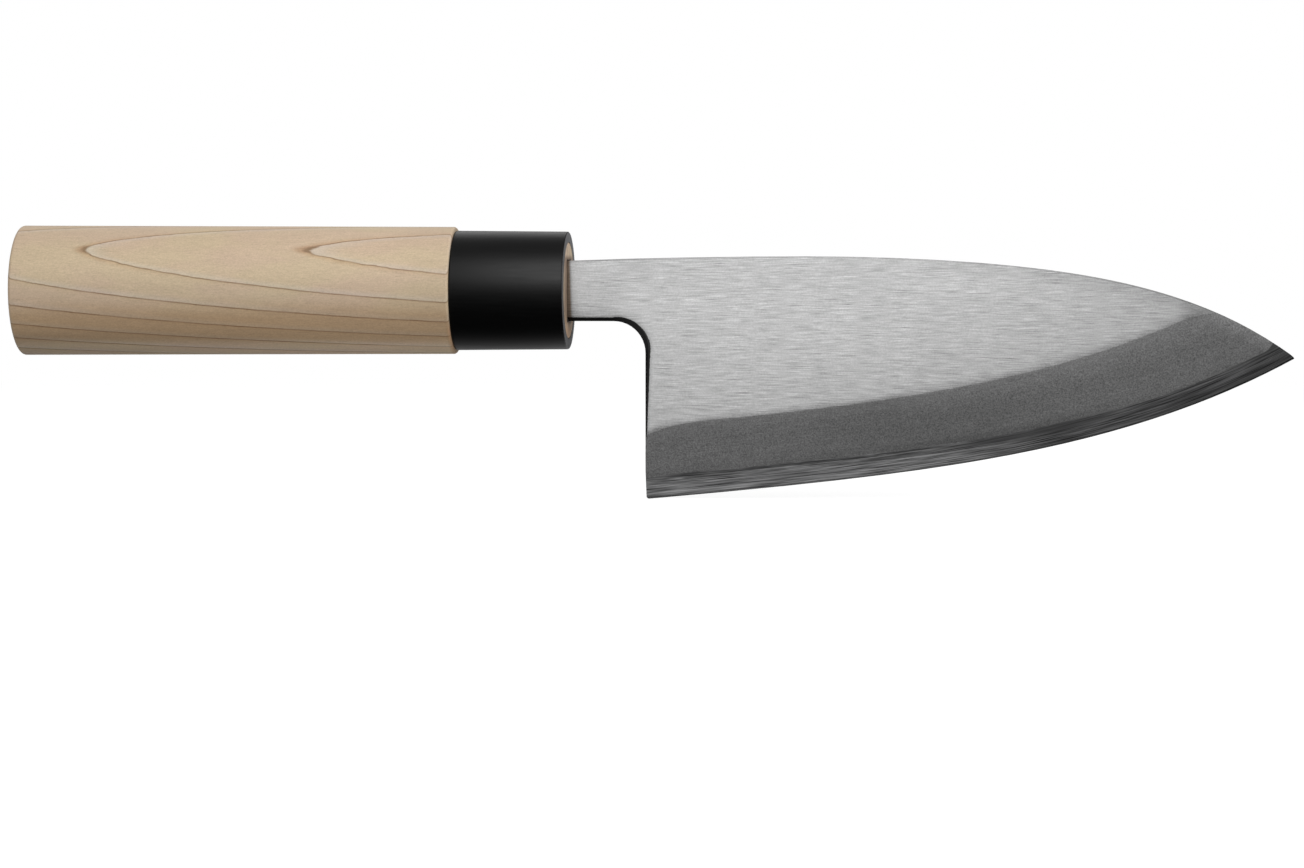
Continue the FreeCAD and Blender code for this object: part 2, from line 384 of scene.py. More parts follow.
def bevelLook(tree, where, rule, look, ironGain, steelGain):
    fine, broad = brushed(tree, rule["Flow"], look)
    cloud, grit = clouded(tree, where, look)
    into, along = rule["Into Steel"], rule["Along"]
    iron = cloud.spread(look["ironCloud"]) * grit.spread(look["ironGrit"]) * fine.spread(look["ironBrush"])
    iron = shaded(iron * look["ironTone"], rule, look["ironShades"])
    far = along.step(*look["steelFar"])
    steelTone = along.step(*look["steelMid"]).ramp(look["steelTone"], look["steelMidTone"])
    steelTone = steelTone + far * (look["steelFarTone"] - look["steelMidTone"])
    steelTone = steelTone + along.step(*look["steelTip"]) * (look["steelTipTone"] - look["steelFarTone"])
    streakFlow = join(tree, along * look["streakAlong"], into * look["streakAcross"], 0.0)
    streak = noise(tree, streakFlow, roughness=0.6)
    steel = fine.spread(look["steelBrush"]).op("MAXIMUM", look["steelLeast"])
    steel = steel * streak.spread(look["steelStreak"]) * broad.spread(look["steelBroad"]) * steelTone
    steel = shaded(steel, rule, look["steelShades"])
    # dark lines where the steel begins
    marks = noise(tree, join(tree, along * look["markAlong"], into * look["markAcross"], 0.0))
    first = stepped(rule, look["firstLine"]) * marks.step(*look["firstMarks"]).ramp(*look["firstShares"])
    later = stepped(rule, look["laterLine"]) * marks.step(*look["laterMarks"]) * look["laterShare"]
    wide = stepped(rule, look["wideLine"]) * look["wideShare"]
    fading = (far - stepped(rule, farHalf)).op("MAXIMUM", 0.0) * look["lineFading"] + 1
    line = first.op("MAXIMUM", later).op("MAXIMUM", wide) * fading
    steelShare = into.step(*look["steelFrom"])
    body = (iron * ironGain).towards(steel * steelGain, steelShare)
    tone = body.towards(fine.spread(look["lineBrush"]) * look["lineTone"] * steelGain, line)
    rough = steelShare.ramp(look["ironRoughness"], look["steelRoughness"])
    return tone, rough, fine, grit


# flat face: brushed, darker towards the tip, the ridge and the spine's far end, with painted shade and a
# painted dark reflection beside the wood

flatFinish = {
    "lineLength": 8.0, "lineWidth": 0.12, "tone": 0.459, "brush": 1.5, "broad": 0.06, "grit": 0.6,
    "metal": 0.55, "bevelMetal": 0.5, "roughness": 0.30, "roughnessBrush": 0.35, "steelGain": 0.4,
    "bumpDepth": 0.008, "bumpStrength": 0.3, "bumpGrit": 0.4,
    "shades": {
        "tip": [(-0.155, ("Along", 0.2, 0.9))],
        "ridge": [(-0.06, ("Above Ridge", 14.0, 0.0)),
                  (-0.03, ("Above Ridge", 14.0, 0.0), ("Along", 0.1, 0.5))],
        "spine": [(-0.14, ("Below Spine", 4.0, 0.5), ("Along", 0.35, 0.85))],
        # painted highlight along the spine's edge, weaker towards the tip
        "rim": [(0.22, ("Below Spine", 0.75, 0.35)),
                (-0.1, ("Below Spine", 0.75, 0.35), ("Along", 0.4, 0.7))],
        "end": [(-0.18, ("Along", 0.815, 0.845))],
        "paleBand": [(0.09, ("Below Spine", 2.0, 4.0), ("Below Spine", 9.0, 5.0),
                      ("Along", 0.38, 0.46), ("Along", 0.75, 0.6))],
        # painted shade low on the neck beside the wood
        "lowCorner": [(-0.22, ("From Wood", 4.0, 0.8), ("Height", 0.0, -5.0))],
        # painted dark reflection of the wood and ferrule in the neck, along the wood
        "paintedReflection": [(-0.6, ("From Reflection", 1.3, 0.4)), (-0.08, ("From Reflection", 3.0, 1.0))],
        "upper": [(-0.06, ("Below Spine", 14.0, 2.0))],
    },
    "bevelShades": {"top": [(0.22, ("Above Ridge", -7.5, -1.5), ("Along", 0.34, 0.46))]},
    "neckEnd": (18.0, 8.0), "neckMiddle": 1.0, "neckUpwards": 0.016,
    "reflectionLean": 0.035, "reflectionTint": (0.95, 0.5), "reflectionColour": (1.0, 0.78, 0.60, 1),
    "ridgeRagged": 1.0, "ridgeReach": (-4.0, -0.4), "ridgeReachShare": 0.18, "ridgeStep": (-0.7, 1.4),
    "ridgeDim": (-0.6, 1.6), "ridgeDimFar": (0.1, 0.45), "ridgeDimLeast": 0.7,
}
# unpolished black band along the choil, widest in its bend
choilFinish = {
    "tone": 0.021, "bendLift": 2.4, "neckWidth": 0.85, "heelWidth": 1.45, "footWidth": 0.15, "bendWidth": 0.5,
    "bevelSide": (0.0, -2.5), "ragged": 0.3, "edge": (-0.08, 0.1), "fade": (0.0, 0.8), "fadeLeast": 0.8,
    "shade": (3.0, 0.0), "shadeShare": -0.2,
}


def choilBand(rule, look, grit):
    turned = rule["Round Choil"]
    heelWidth = rule["Down Heel"].op("MAXIMUM", 0.0).ramp(look["heelWidth"], look["footWidth"])
    bend = turned * turned.flipped() * 4 * look["bendWidth"]  # its peak is the bend's width
    width = turned.step(0.0, 1.0).ramp(look["neckWidth"], heelWidth) + bend
    width = width - rule["Above Ridge"].step(*look["bevelSide"])  # none beside the bevel
    return bend, rule["From Choil"] + grit.swing(look["ragged"]) - width


def ironMaterial(look, bevel, choil):
    material, tree, shader = newMaterial("bladeIron", Anisotropic=0.85, Specular_IOR_Level=0.0)
    where = millimetres(tree)
    rule = place(tree, bladeRule, {"Place": where})
    rule["From Reflection"] = rule["From Wood"] + rule["Height"] * look["reflectionLean"]
    bevelTone, bevelRough, _, grit = bevelLook(tree, where, rule, bevel, 1.0, look["steelGain"])
    bevelTone = shaded(bevelTone, rule, look["bevelShades"])
    fine, broad = brushed(tree, where, look)
    flatTone = fine.spread(look["brush"]) * broad.spread(look["broad"]) * grit.spread(look["grit"])
    flatTone = shaded(flatTone * look["tone"], rule, look["shades"])
    onNeck = rule["From Wood"].step(*look["neckEnd"]) * (rule["Height"] - look["neckMiddle"])
    flatTone = flatTone * (onNeck * look["neckUpwards"] + 1)
    # brush marks run over the ridge, so it is soft
    ragged = rule["Above Ridge"] + fine.swing(look["ridgeRagged"])
    isFlat = ragged.step(*look["ridgeReach"]) * look["ridgeReachShare"]
    isFlat = isFlat + ragged.step(*look["ridgeStep"]) * (1 - look["ridgeReachShare"])
    dimFrom, dimTo = look["ridgeDim"]
    dimTo = rule["Along"].step(*look["ridgeDimFar"]) + dimTo
    flatTone = flatTone * ragged.step(dimFrom, dimTo).ramp(look["ridgeDimLeast"], 1.0)
    tone = bevelTone.towards(flatTone, isFlat)
    bend, inside = choilBand(rule, choil, grit)
    polished = inside.step(*choil["edge"])
    tone = tone * polished * inside.step(*choil["fade"]).ramp(choil["fadeLeast"], 1.0)
    tone = tone + (bend * choil["bendLift"] + 1) * choil["tone"]
    # painted shade on the flat just above the neck's underside, fading round the bend
    underNeck = inside.step(*choil["shade"]) * rule["Round Choil"].flipped()
    tone = tone * (underNeck * choil["shadeShare"] + 1)
    # painted reflection: a dark, warm band of the wood and ferrule mirrored in the neck beside the wood
    paintedReflection = mix(tree, rule["From Reflection"].step(*look["reflectionTint"]), grey(1.0), look["reflectionColour"])
    feed(tree, shader.inputs["Base Color"], scaled(tree, paintedReflection, tone))
    # fine scratches scatter part of the light like a matte surface
    feed(tree, shader.inputs["Metallic"], polished * isFlat.ramp(look["bevelMetal"], look["metal"]))
    rough = bevelRough.towards(fine.spread(look["roughnessBrush"]) * look["roughness"], isFlat)
    feed(tree, shader.inputs["Roughness"], rough)
    bump(tree, shader, fine * isFlat + grit * look["bumpGrit"], look)
    brushTangent(tree, shader)
    return material


# steel: the same bevel, with the small bevel at the very edge

steelFinish = {
    "ironGain": 2.0, "blue": 1.01, "bumpDepth": 0.01, "bumpStrength": 0.4,
    "shades": {
        "keen": [(-0.55, ("Above Edge", 0.6, 0.3)), (0.35, ("Above Edge", 0.6, 0.3), ("Along", 0.5, 0.7))],
    },
}


def steelMaterial(look, bevel):
    material, tree, shader = newMaterial("edgeSteel", Metallic=1.0, Anisotropic=0.4)
    where = millimetres(tree)
    rule = place(tree, bladeRule, {"Place": where})
    tone, rough, fine, _ = bevelLook(tree, where, rule, bevel, look["ironGain"], 1.0)
    tone = shaded(tone, rule, look["shades"])
    feed(tree, shader.inputs["Base Color"], coolGrey(tree, tone, look["blue"]))
    feed(tree, shader.inputs["Roughness"], rough)
    bump(tree, shader, fine, look)
    brushTangent(tree, shader)
    return material


# back: polished rims round a duller hollow

backFinish = {
    "lineLength": 16.0, "lineWidth": 0.35, "cloudSize": 18.0, "brush": 0.3, "broad": 0.2, "cloud": 0.18,
    "rimTone": 0.5, "hollowTone": 0.33, "rimRoughness": 0.22, "hollowRoughness": 0.38, "roughnessBrush": 0.3,
    "hollowDepth": (0.004, 0.05), "blue": 1.01, "bumpDepth": 0.012, "bumpStrength": 0.4,
}


def backMaterial(look):
    material, tree, shader = newMaterial("hollowBack", Metallic=1.0, Anisotropic=0.5)
    where = millimetres(tree)
    fine, broad = brushed(tree, where, look)
    cloud, _ = clouded(tree, where, look)
    inHollow = (split(tree, where)[1] * -1 + backY).step(*look["hollowDepth"])
    tone = inHollow.ramp(look["rimTone"], look["hollowTone"]) * fine.spread(look["brush"])
    tone = tone * broad.spread(look["broad"]) * cloud.spread(look["cloud"])
    feed(tree, shader.inputs["Base Color"], coolGrey(tree, tone, look["blue"]))
    rough = inHollow.ramp(look["rimRoughness"], look["hollowRoughness"])
    feed(tree, shader.inputs["Roughness"], rough * fine.spread(look["roughnessBrush"]))
    bump(tree, shader, fine, look)
    brushTangent(tree, shader)
    return material


# tang and choil: black unpolished skin of the forging

scaleFinish = {
    "cloudSize": 2.2, "darkTone": 0.004, "paleTone": 0.014, "wornCloud": 0.7, "wornGrit": 0.3,
    "worn": (0.45, 0.68), "roughnesses": (0.42, 0.77),
    "bumpCloud": 0.6, "bumpGrit": 0.4, "bumpDepth": 0.06, "bumpStrength": 0.6,
}


def forgeScaleMaterial(look):
    material, tree, shader = newMaterial("forgeScale", Specular_IOR_Level=0.02)
    cloud, grit = clouded(tree, millimetres(tree), look)
    worn = (cloud * look["wornCloud"] + grit * look["wornGrit"]).step(*look["worn"])
    feed(tree, shader.inputs["Base Color"], mix(tree, worn, grey(look["darkTone"]), grey(look["paleTone"])))
    feed(tree, shader.inputs["Roughness"], cloud.ramp(*look["roughnesses"]))
    bump(tree, shader, cloud * look["bumpCloud"] + grit * look["bumpGrit"], look)
    return material


flatIron = ironMaterial(flatFinish, bevelFinish, choilFinish)
edgeSteel = steelMaterial(steelFinish, bevelFinish)
hollowBack = backMaterial(backFinish)
forgeScale = forgeScaleMaterial(scaleFinish)
print("blade finishes made")


# blade pieces: the solids' own faces, welded, with a finish for each face

# gaps in millimetres, creases in degrees
meshWork = {
    "weldGap": 0.0005, "mouthRoom": 0.001, "bladeCrease": 1.5, "handleCrease": 30.0, "brushMapScale": 10,
}
# parts of a face's normal that tell which finish it has
facing = {"bevelSide": -0.2, "back": 0.9, "spine": 0.3, "heel": -0.5, "below": -0.95}


def weld(mesh, crease, fromCad):  # joins loose corners and smooths all but the crisp rims
    gap = meshWork["weldGap"] * mm
    work = bmesh.new()
    work.from_mesh(mesh)
    bmesh.ops.remove_doubles(work, verts=work.verts, dist=gap)
    if fromCad:
        bmesh.ops.dissolve_degenerate(work, edges=work.edges, dist=gap)
    else:
        bmesh.ops.recalc_face_normals(work, faces=work.faces)
    for face in work.faces:
        face.smooth = True
    for edge in work.edges:
        edge.smooth = edge.is_manifold and edge.calc_face_angle() < math.radians(crease)
    work.to_mesh(mesh)
    work.free()


def brushMap(piece):  # the brush runs along the knife, so the map's first axis lies across it
    layer = piece.data.uv_layers.new(name="brush")
    scale = meshWork["brushMapScale"]
    for face in piece.data.polygons:
        flatways = abs(face.normal.y) > abs(face.normal.z)
        for loop in face.loop_indices:
            spot = piece.data.vertices[piece.data.loops[loop].vertex_index].co
            layer.data[loop].uv = ((spot.z if flatways else spot.y) * scale, spot.x * scale)


def ironFinishOf(face):
    normal = face.normal
    inHandle = face.center.x < (mouthX - meshWork["mouthRoom"]) * mm
    ground = normal.y < facing["bevelSide"] or normal.y > facing["back"] or normal.z > facing["spine"]
    return 0 if ground and not inHandle else 1


def steelFinishOf(face):
    normal = face.normal
    if normal.y > facing["back"] or normal.z > facing["spine"]:
        return 1
    return 2 if normal.x < facing["heel"] or normal.z < facing["below"] else 0


def makeBladePiece(node, name, materials, finishOf):
    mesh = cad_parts[node].data.copy()
    mesh.name = name
    mesh.materials.clear()
    weld(mesh, meshWork["bladeCrease"], True)
    piece = bpy.data.objects.new(name, mesh)
    scene.collection.objects.link(piece)
    brushMap(piece)
    for material in materials:
        mesh.materials.append(material)
    for face in mesh.polygons:
        face.material_index = finishOf(face)
    return piece


bladeIron = makeBladePiece("blade_iron", "bladeIron", (flatIron, forgeScale), ironFinishOf)
bladeSteel = makeBladePiece("edge_steel", "edgeSteel", (edgeSteel, hollowBack, forgeScale), steelFinishOf)
print("blade pieces:", len(bladeIron.data.polygons), "and", len(bladeSteel.data.polygons), "faces")


# handle and ferrule: an oval swept round a rounded profile

sweepSizes = {"segments": 160, "mergeGap": 0.001}


def ovalSweepTree(sizes):
    tree, source, sink = newGroup(
        "ovalSweep", "GeometryNodeTree",
        [("Geometry", "NodeSocketGeometry"), ("Segments", "NodeSocketInt"),
         ("Material", "NodeSocketMaterial")],
        [("Geometry", "NodeSocketGeometry")])
    ring = addNode(tree, "GeometryNodeCurvePrimitiveCircle", {"Resolution": source.outputs["Segments"]})
    index = Term(tree, tree.nodes.new("GeometryNodeInputIndex").outputs[0])
    turn = index / source.outputs["Segments"] * (2 * math.pi)
    marked = addNode(
        tree, "GeometryNodeStoreNamedAttribute",
        {"Geometry": ring.outputs["Curve"], "Name": "turn", "Value": turn}, data_type="FLOAT", domain="POINT")
    profile = addNode(tree, "GeometryNodeMeshToCurve", {"Mesh": source.outputs["Geometry"]})
    sweep = addNode(
        tree, "GeometryNodeCurveToMesh",
        {"Curve": marked.outputs[0], "Profile Curve": profile.outputs[0]})

    def read(name):
        node = addNode(tree, "GeometryNodeInputNamedAttribute", {"Name": name}, data_type="FLOAT")
        return Term(tree, node.outputs["Attribute"])

    angle = read("turn")
    spot = join(
        tree, read("along"), angle.op("COSINE") * read("halfWidth"), angle.op("SINE") * read("halfHeight"))
    moved = addNode(tree, "GeometryNodeSetPosition", {"Geometry": sweep.outputs[0], "Position": spot})
    plain = addNode(
        tree, "GeometryNodeMergeByDistance",
        {"Geometry": moved.outputs[0], "Distance": sizes["mergeGap"] * mm})
    for name in ("turn", "along", "halfWidth", "halfHeight"):
        plain = addNode(tree, "GeometryNodeRemoveAttribute", {"Geometry": plain.outputs[0], "Name": name})
    real = addNode(tree, "GeometryNodeRealizeInstances", {"Geometry": plain.outputs[0]})
    done = addNode(
        tree, "GeometryNodeSetMaterial",
        {"Geometry": real.outputs[0], "Material": source.outputs["Material"]})
    feed(tree, sink.inputs[0], done.outputs[0])
    return tree


ovalSweep = ovalSweepTree(sweepSizes)


def settle(piece):  # modifiers become a plain closed mesh with crisp rims
    graph = bpy.context.evaluated_depsgraph_get()
    mesh = bpy.data.meshes.new_from_object(piece.evaluated_get(graph))
    piece.modifiers.clear()
    piece.data = mesh
    mesh.name = piece.name
    weld(mesh, meshWork["handleCrease"], False)


def sweptOval(name, profile, closed, material):
    # profile holds (place along the knife, half height, half width) for each corner, in millimetres
    mesh = bpy.data.meshes.new(name + "Profile")
    edges = [(i, i + 1) for i in range(len(profile) - 1)]
    if closed:
        edges.append((len(profile) - 1, 0))
    mesh.from_pydata([(corner[0] * mm, 0, corner[1] * mm) for corner in profile], edges, [])
    for column, label in enumerate(("along", "halfHeight", "halfWidth")):
        values = mesh.attributes.new(label, "FLOAT", "POINT")
        for i, corner in enumerate(profile):
            values.data[i].value = corner[column] * mm
    piece = bpy.data.objects.new(name, mesh)
    scene.collection.objects.link(piece)
    modifier = piece.modifiers.new("sweep", "NODES")
    modifier.node_group = ovalSweep
    inputs = {"Segments": sweepSizes["segments"], "Material": material}
    for item in ovalSweep.interface.items_tree:
        if item.in_out == "INPUT" and item.name in inputs:
            modifier[item.identifier] = inputs[item.name]
    settle(piece)
    return piece


def quarterRound(x, height, width, radius, towards, steps=6):
    # from the end face to the side, or back, where towards is -1 at the rear end and 1 at the front end
    corners = []
    for i in range(steps + 1):
        angle = math.pi / 2 * i / steps
        inset = radius * (1 - math.sin(angle))
        corners.append((x - towards * radius * (1 - math.cos(angle)), height / 2 - inset, width / 2 - inset))
    return corners if towards < 0 else corners[::-1]


# wood: growth layers slightly askew to the handle come out as pointed arches on its upper front

woodLook = {
    "paleColour": (0.605, 0.500, 0.395, 1), "midColour": (0.592, 0.462, 0.330, 1),
    "warmColour": (0.530, 0.370, 0.235, 1), "ringColour": (0.285, 0.190, 0.115, 1),
    "noseColour": (0.430, 0.275, 0.170, 1), "innerColour": (0.610, 0.525, 0.440, 1),
    "lowSideShadeColour": (0.800, 0.705, 0.590, 1), "roseColour": (1.01, 0.985, 0.99, 1),
    "strawColour": (0.99, 1.005, 0.95, 1),
    "layerStep": 3.64, "layerTilt": 0.0697, "layerBend": -0.00022, "layerFacing": (-0.8461, 0.5331),
    "layerReach": 12.093, "middleX": 50.0,
    "foldHeight": 1.558, "foldWidth": 4.935, "foldSide": 3.02, "foldSoft": 2.0,
    # noises: how quickly they change along and across the handle, and how far they shift a layer
    "slowPitch": (0.014, 0.05), "slowShift": 0.16, "quickPitch": (0.07, 0.22), "quickShift": 0.12,
    "ripplePitch": (0.3, 0.7), "rippleShift": 0.16, "porePitch": (0.7, 6.0), "specklePitch": (2.2, 3.4),
    # distances before and after a dark ring, and beside the noses of the arches
    "slopePower": 0.35, "paleAfter": (1.6, 0.0), "innerAfter": (3.0, 0.3), "innerBeside": (2.9, 2.05),
    "innerShare": 0.5, "fringeBefore": (1.3, 0.1), "fringeSlope": (0.6, 0.2), "fringeShares": (0.24, 0.89),
    "smudgeBefore": (1.7, 0.0), "smudgeBeside": (2.4, 2.05), "noseBeside": (2.35, 2.02),
    "ringWidth": 0.18, "noseRing": 0.42, "ringFrom": 1.6, "ringTo": 0.4, "ringBroad": (0.3, 0.6),
    "ringBroadShare": 0.35, "ringNoseShare": 0.3, "ringLeast": 0.55, "ringBrush": 0.9,
    "lineLength": 2.4, "lineWidth": 0.3, "cloudSize": 9.0, "cloudStretch": 0.35, "roseToStraw": (0.38, 0.62),
    "poreFrom": (0.58, 0.72), "poreShare": -0.13, "fine": 0.22, "broad": 0.12, "cloud": 0.1, "speckle": 0.42,
    # places on the handle
    "lowSideShade": [("z", -0.7, -7.2), ("z", -13.4, -10.9)], "lowSide": (-7.5, -14.0), "lowForwards": 0.0035,
    # painted shading: darker lower down, a painted strip of bounce light along the underside, and painted
    # shade towards the ferrule
    "shades": {
        "lower": [(-0.1, ("z", 6.0, -2.0))], "under": [(0.16, ("z", -11.0, -13.5))],
        "shoulder": [(-0.05, ("x", 84.0, 104.0))],
    },
    "roughness": 0.62, "roughnessBrush": 0.3,
    "bumpFine": 0.5, "bumpGrit": 0.2, "bumpPores": 0.4, "bumpDepth": 0.03, "bumpStrength": 0.35,
}
# tenon: painted shadow of the neck beside the tang and painted shade below it, with browning, scorch and char
# from the hot tang round its mouth
tenonLook = {
    "besideShadowColour": (0.176, 0.117, 0.084, 1), "belowShadeColour": (0.345, 0.183, 0.079, 1),
    "scorchColour": (0.150, 0.085, 0.045, 1), "charColour": (0.030, 0.020, 0.014, 1),
    "start": (-1.0, 0.0), "belowTint": (-4.5, -10.0), "below": (-4.0, -10.0), "belowShare": 0.9,
    "sideReach": 0.16, "reach": (1.5, 0.3), "reachRagged": 0.8, "shadeBrownShare": 0.75,
    "ragged": 1.2, "scorch": (1.8, 0.2), "scorchShare": 0.25, "char": (0.5, 0.0),
}
gripSizes = {
    "buttHeight": 31.0, "buttWidth": 25.4, "shoulderHeight": 30.0, "shoulderWidth": 24.6,
    "buttRound": 0.9, "shoulderRound": 0.6, "tenonGap": 0.05, "tenonRound": 0.25, "tenonRoundSteps": 3,
    "socketTop": 7.1, "socketBottom": -7.3, "socketSide": 2.9,
    "socketEndTop": 3.524, "socketEndBottom": -3.52, "socketEndSide": 1.674, "socketEndRoom": 2.0,
    "cutterPastMouth": 1.0,
}
ferruleSizes = {
    "rearHeight": 28.2, "rearWidth": 23.3, "frontHeight": 27.7, "frontWidth": 22.9,
    "wall": 2.5, "round": 0.35,
}


def woodNoise(tree, spot, pitch, detail=2.0, roughness=0.5):
    along, across = pitch
    flow = join(tree, spot["x"] * along, spot["y"] * across, spot["z"] * across)
    return noise(tree, flow, detail=detail, roughness=roughness)


def layerColour(tree, spot, normal, look, waves, fine, broad):
    x, y, z = spot.values()
    faceY, faceZ = look["layerFacing"]
    sideways = ((y * faceZ - z * faceY - look["foldSide"])**2.0 + look["foldSoft"]**2).op("SQRT")
    fold = (sideways / -look["foldWidth"]).op("EXPONENT") * look["foldHeight"]
    past = x - look["middleX"]
    layer = y * faceY + z * faceZ + past * look["layerTilt"] + past**2.0 * look["layerBend"] + fold
    layer = layer - look["layerReach"]
    for wave, shift in zip(waves, ("slowShift", "quickShift", "rippleShift")):
        layer = layer + wave.swing(look[shift])
    within = (layer / look["layerStep"]).op("FRACT")
    # how steeply the surface cuts the layers turns their depth into millimetres on the surface
    leaning = look["layerTilt"]**2
    cut = (normal[1] * faceY + normal[2] * faceZ)**2.0 * -1 + (1 + leaning)
    slope = cut.op("MAXIMUM", leaning)**look["slopePower"]
    before = within.flipped() * look["layerStep"] / slope
    after = within * look["layerStep"] / slope
    colour = mix(tree, after.step(*look["paleAfter"]), look["midColour"], look["paleColour"])
    inner = after.step(*look["innerAfter"]) * sideways.step(*look["innerBeside"]) * look["innerShare"]
    colour = mix(tree, inner, colour, look["innerColour"])
    fringe = slope.step(*look["fringeSlope"]).ramp(*look["fringeShares"])
    colour = mix(tree, before.step(*look["fringeBefore"]) * fringe, colour, look["warmColour"])
    smudge = before.step(*look["smudgeBefore"]) * sideways.step(*look["smudgeBeside"])
    colour = mix(tree, smudge, colour, look["noseColour"])
    nose = sideways.step(*look["noseBeside"])
    width = nose.ramp(look["ringWidth"], look["noseRing"])
    ring = before.step(width * look["ringFrom"], width * look["ringTo"]).op("MAXIMUM", after.step(width, 0.0))
    strength = broad.step(*look["ringBroad"]) * look["ringBroadShare"]
    strength = strength + nose * look["ringNoseShare"] + look["ringLeast"]
    return mix(tree, ring * strength * fine.spread(look["ringBrush"]), colour, look["ringColour"])


def shadedBrownedTenon(tree, spot, colour, look, grip, quick):
    x, y, z = spot.values()
    middle = (grip["socketTop"] + grip["socketBottom"]) / 2
    offSide = (y.op("ABSOLUTE") - grip["socketSide"]).op("MAXIMUM", 0.0)
    offEnds = ((z - middle).op("ABSOLUTE") - (grip["socketTop"] - middle)).op("MAXIMUM", 0.0)
    off = distance(offSide, offEnds) + quick.swing(look["ragged"])
    onTenon = (x - shoulderX).step(*look["start"])
    # painted shadow of the neck beside the tang and painted shade below it, mixed with browning of the wood
    shadowBrown = mix(tree, z.step(*look["belowTint"]), look["besideShadowColour"], look["belowShadeColour"])
    reach = distance(offSide * look["sideReach"], offEnds) + quick.swing(look["reachRagged"])
    shadeAndBrown = reach.step(*look["reach"]).op("MAXIMUM", z.step(*look["below"]) * look["belowShare"]) * onTenon
    colour = mix(tree, shadeAndBrown * look["shadeBrownShare"], colour, shadowBrown)
    scorched = off.step(*look["scorch"]) * shadeAndBrown * look["scorchShare"]
    colour = mix(tree, scorched, colour, look["scorchColour"])
    return mix(tree, off.step(*look["char"]) * onTenon, colour, look["charColour"])


def woodMaterial(look, tenon, grip):
    material, tree, shader = newMaterial("paleWood", Specular_IOR_Level=0.25)
    where = millimetres(tree)
    spot = dict(zip("xyz", split(tree, where)))
    normal = split(tree, addNode(tree, "ShaderNodeNewGeometry").outputs["Normal"])
    slow = woodNoise(tree, spot, look["slowPitch"])
    quick = woodNoise(tree, spot, look["quickPitch"], detail=3.0)
    ripple = woodNoise(tree, spot, look["ripplePitch"])
    fine, broad = brushed(tree, where, look)
    colour = layerColour(tree, spot, normal, look, (slow, quick, ripple), fine, broad)
    # fibre streaks, pores, and patches of rose and straw, with painted shade low on the sides
    pores = woodNoise(tree, spot, look["porePitch"]).step(*look["poreFrom"])
    cloud, grit = clouded(tree, join(tree, spot["x"] * look["cloudStretch"], spot["y"], spot["z"]), look)
    patch = mix(tree, cloud.step(*look["roseToStraw"]), look["roseColour"], look["strawColour"])
    lowSideShade = stepped(spot, look["lowSideShade"]) * normal[0].op("ABSOLUTE").flipped()
    patch = mix(tree, lowSideShade, patch, look["lowSideShadeColour"])
    colour = addNode(tree, "ShaderNodeVectorMath", {0: colour, 1: patch}, operation="MULTIPLY").outputs[0]
    speckle = woodNoise(tree, spot, look["specklePitch"], roughness=0.6)
    shade = fine.spread(look["fine"]) * broad.spread(look["broad"]) * cloud.spread(look["cloud"])
    shade = shade * speckle.spread(look["speckle"]) * (pores * look["poreShare"] + 1)
    shade = shaded(shade, spot, look["shades"])
    lowForwards = (spot["x"] - look["middleX"]) * spot["z"].step(*look["lowSide"])
    shade = shade * (lowForwards * look["lowForwards"] + 1)
    colour = shadedBrownedTenon(tree, spot, scaled(tree, colour, shade), tenon, grip, quick)
    feed(tree, shader.inputs["Base Color"], colour)
    feed(tree, shader.inputs["Roughness"], fine.spread(look["roughnessBrush"]) * look["roughness"])
    bump(tree, shader, fine * look["bumpFine"] + grit * look["bumpGrit"] - pores * look["bumpPores"], look)
    return material


def socketCutter(sizes):  # tapered like the tang, from behind its end to past the mouth
    mouth = mouthX + sizes["cutterPastMouth"]
    deep = tangEndX - sizes["socketEndRoom"]
    slope = (mouth - deep) / (mouthX - deep)

    def atMouth(end, face):
        return end + (face - end) * slope

    endTop, endLow, endSide = sizes["socketEndTop"], sizes["socketEndBottom"], sizes["socketEndSide"]
    top, low = atMouth(endTop, sizes["socketTop"]), atMouth(endLow, sizes["socketBottom"])
    side = atMouth(endSide, sizes["socketSide"])
    corners = [(mouth, s * side, z) for s in (-1, 1) for z in (low, top)]
    corners += [(deep, s * endSide, z) for s in (-1, 1) for z in (endLow, endTop)]
    faces = [(0, 2, 3, 1), (4, 5, 7, 6), (0, 1, 5, 4), (2, 6, 7, 3), (1, 3, 7, 5), (0, 4, 6, 2)]
    mesh = bpy.data.meshes.new("socketCutter")
    mesh.from_pydata([[v * mm for v in corner] for corner in corners], [], faces)
    cutter = bpy.data.objects.new("socketCutter", mesh)
    scene.collection.objects.link(cutter)
    return cutter


def makeGrip(sizes, ferrule, material):
    inset = 2 * (ferrule["wall"] + sizes["tenonGap"])
    rearTenon = (ferrule["rearHeight"] - inset, ferrule["rearWidth"] - inset)
    frontTenon = (ferrule["frontHeight"] - inset, ferrule["frontWidth"] - inset)
    shoulder = (sizes["shoulderHeight"], sizes["shoulderWidth"])
    profile = [(0.0, 0.0, 0.0)]
    profile += quarterRound(0.0, sizes["buttHeight"], sizes["buttWidth"], sizes["buttRound"], -1)
    profile += quarterRound(shoulderX, *shoulder, sizes["shoulderRound"], 1)
    profile.append((shoulderX, rearTenon[0] / 2, rearTenon[1] / 2))
    profile += quarterRound(mouthX, *frontTenon, sizes["tenonRound"], 1, sizes["tenonRoundSteps"])
    profile.append((mouthX, 0.0, 0.0))
    piece = sweptOval("gripWood", profile, False, material)
    cutter = socketCutter(sizes)
    cut = piece.modifiers.new("socket", "BOOLEAN")
    cut.operation = "DIFFERENCE"
    cut.solver = "EXACT"
    cut.object = cutter
    settle(piece)
    bpy.data.objects.remove(cutter)
    return piece


# ferrule: polished black side and a paler sawn front ring

